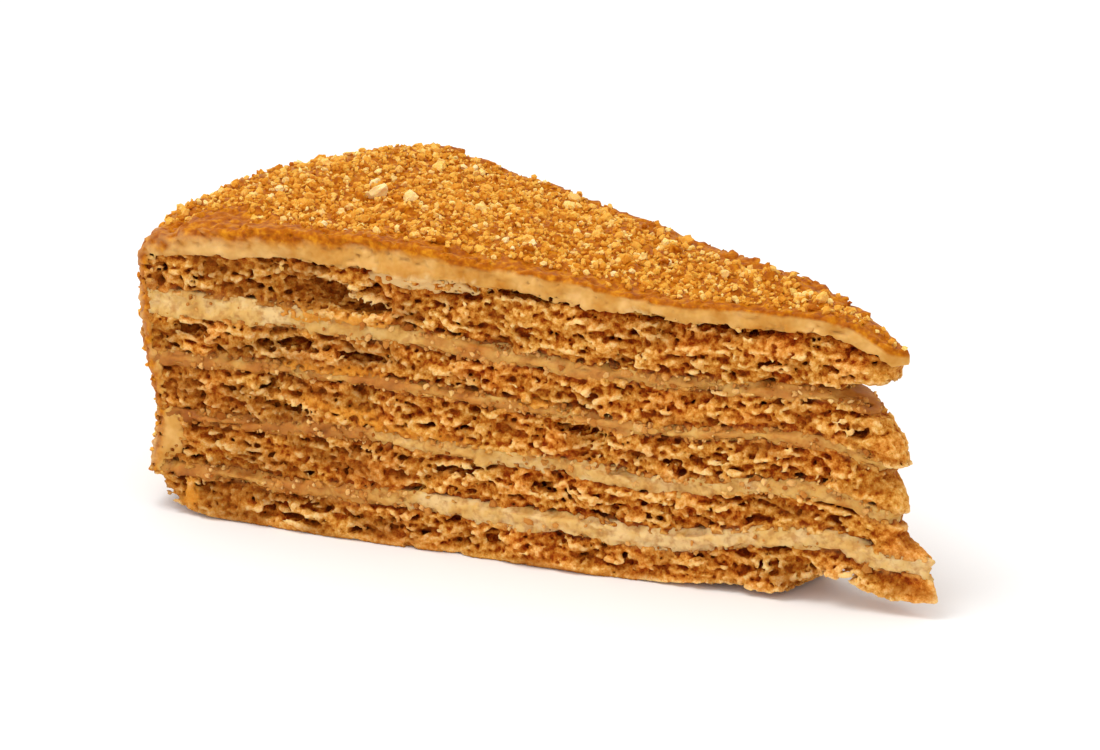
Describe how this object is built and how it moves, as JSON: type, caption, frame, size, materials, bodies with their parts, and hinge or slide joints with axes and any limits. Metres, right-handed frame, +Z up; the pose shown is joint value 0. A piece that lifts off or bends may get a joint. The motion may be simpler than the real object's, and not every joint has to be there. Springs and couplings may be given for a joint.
{
  "type": "medovik slice",
  "caption": "Wedge of medovik: honey sponges with cream between them, under a coat of cream and crumbs that turns down over the rim.",
  "frame": {"origin": "middle of the bounding box's base, on the plane the slice stands on", "axes": "+X from the rim of the cake to the tip of the slice, the near cut face to -Y, +Z up"},
  "size_m": [0.1234, 0.0626, 0.0465],
  "materials": {
    "sponge": null,
    "filling": null,
    "coat": null
  },
  "bodies": {
    "root": {"sponge_1": "sponge", "cream_1": "filling", "sponge_2": "sponge", "cream_2": "filling", "sponge_3": "sponge", "cream_3": "filling", "sponge_4": "sponge", "cream_4": "filling", "sponge_5": "sponge", "cream_coat": "coat"}
  },
  "joints": []
}
